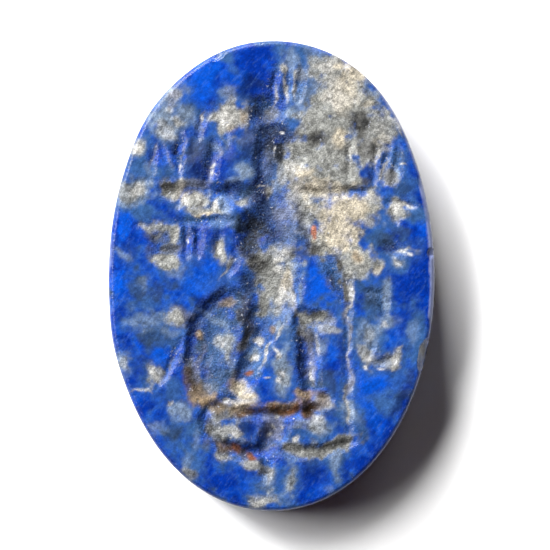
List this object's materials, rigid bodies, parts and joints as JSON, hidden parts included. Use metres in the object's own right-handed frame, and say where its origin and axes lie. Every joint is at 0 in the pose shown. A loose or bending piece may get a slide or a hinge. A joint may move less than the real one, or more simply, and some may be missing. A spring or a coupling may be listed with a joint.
{
  "type": "engraved ring stone",
  "caption": "Oval flat ring stone cut in intaglio with a worn, plumed and winged standing figure.",
  "frame": {"origin": "middle of the flat back of the stone, which is its underside when it lies engraved face up", "axes": "+Z out of the engraved face, +Y along the stone towards the figure's plumes, +X across it to the staff side"},
  "size_m": [0.0139, 0.02, 0.0036],
  "materials": {
    "lapis": "worn polish, ultramarine blue mottled with white and grey calcite, brown dirt in the deep cuts"
  },
  "bodies": {
    "root": {"engraved_stone": "lapis"}
  },
  "joints": []
}
